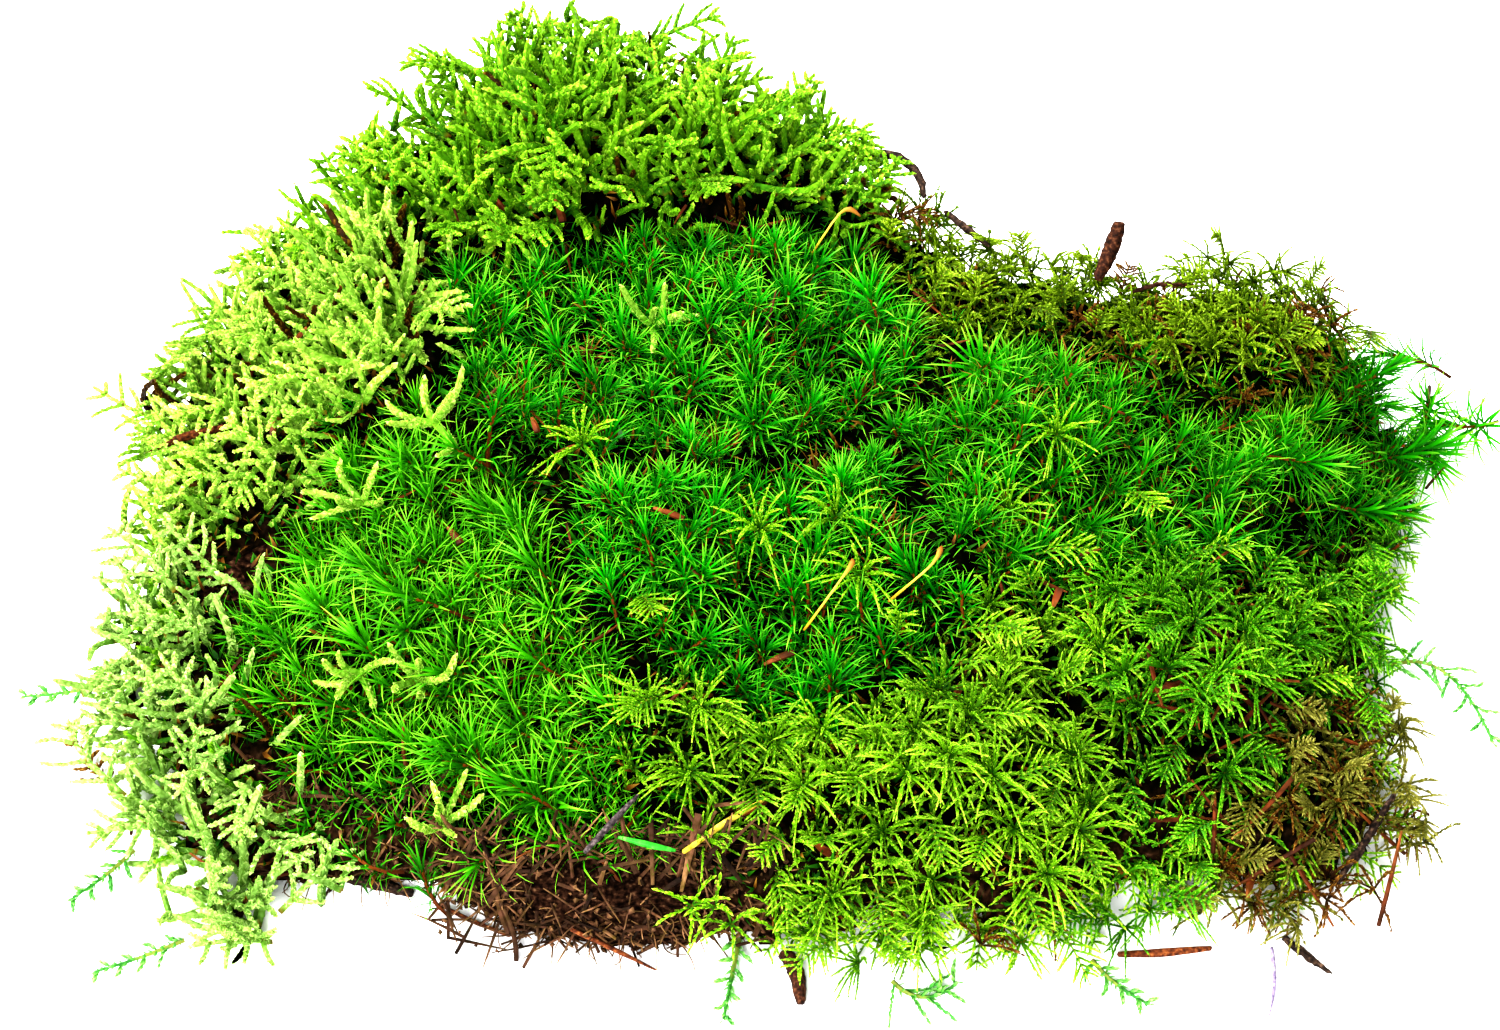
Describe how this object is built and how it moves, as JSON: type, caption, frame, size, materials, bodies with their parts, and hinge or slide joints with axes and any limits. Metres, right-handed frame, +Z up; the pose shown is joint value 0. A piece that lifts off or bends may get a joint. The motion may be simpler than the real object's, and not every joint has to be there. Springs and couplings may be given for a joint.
{
  "type": "moss clump",
  "caption": "Clump of mixed forest mosses lifted whole on its slab of needle duff, with twigs, bark, needles, capsule stalks and trailing sprigs; it lies flat on a surface.",
  "frame": {"origin": "on the flat underside of the duff, near the middle of the clump, at the level of the surface it rests on", "axes": "+X along the clump's long side, to the right as pictured; +Y to its back, away from the picture's near edge; +Z up"},
  "size_m": [0.32, 0.2567, 0.0557],
  "materials": {
    "star_moss": "living leaves, satin",
    "plume_moss": "living scaly leaves, satin",
    "feather_moss": "living leaves, satin",
    "creeping_moss": "living and dead leaves, matte",
    "loose_moss": "living leaves, satin",
    "duff": "crumbled needles and humus, matte",
    "dark_twig": "weathered, matte",
    "brown_needle": "dry needle, satin",
    "bark": "flaky bark, matte",
    "straw": "dry stalk, satin",
    "grey_needle": "weathered needle, matte",
    "green_needle": "fresh needle, satin"
  },
  "bodies": {
    "root": {"star_moss_left": "star_moss", "star_moss_back": "star_moss", "star_moss_middle": "star_moss", "star_moss_right": "star_moss", "star_moss_rim": "star_moss", "plume_moss_back": "plume_moss", "plume_moss_left": "plume_moss", "plume_moss_corner": "plume_moss", "feather_moss_front": "feather_moss", "feather_moss_right": "feather_moss", "creeping_moss_back": "creeping_moss", "creeping_moss_corner": "creeping_moss", "strand_front": "loose_moss", "strand_front_right": "loose_moss", "curled_strand_front": "loose_moss", "strand_right": "loose_moss", "strand_left": "loose_moss", "strand_left_middle": "loose_moss", "strand_left_front": "loose_moss", "strand_corner": "loose_moss", "duff_mat": "duff", "black_twig_left": "dark_twig", "black_twig_back": "dark_twig", "dark_stick_back": "dark_twig", "black_twig_right": "dark_twig", "dark_needle_right": "dark_twig", "flat_needle_right": "brown_needle", "thin_needle_front": "brown_needle", "thin_needle_left": "brown_needle", "brown_twig_left": "brown_needle", "bark_peg_front": "bark", "bark_peg_back": "bark", "crossing_needle_back": "bark", "straw_needle": "straw", "capsule_stalk_back": "straw", "capsule_stalk_middle": "straw", "capsule_stalk_right": "straw", "grey_needle": "grey_needle", "violet_needle_right": "grey_needle", "green_needle": "green_needle"}
  },
  "joints": []
}
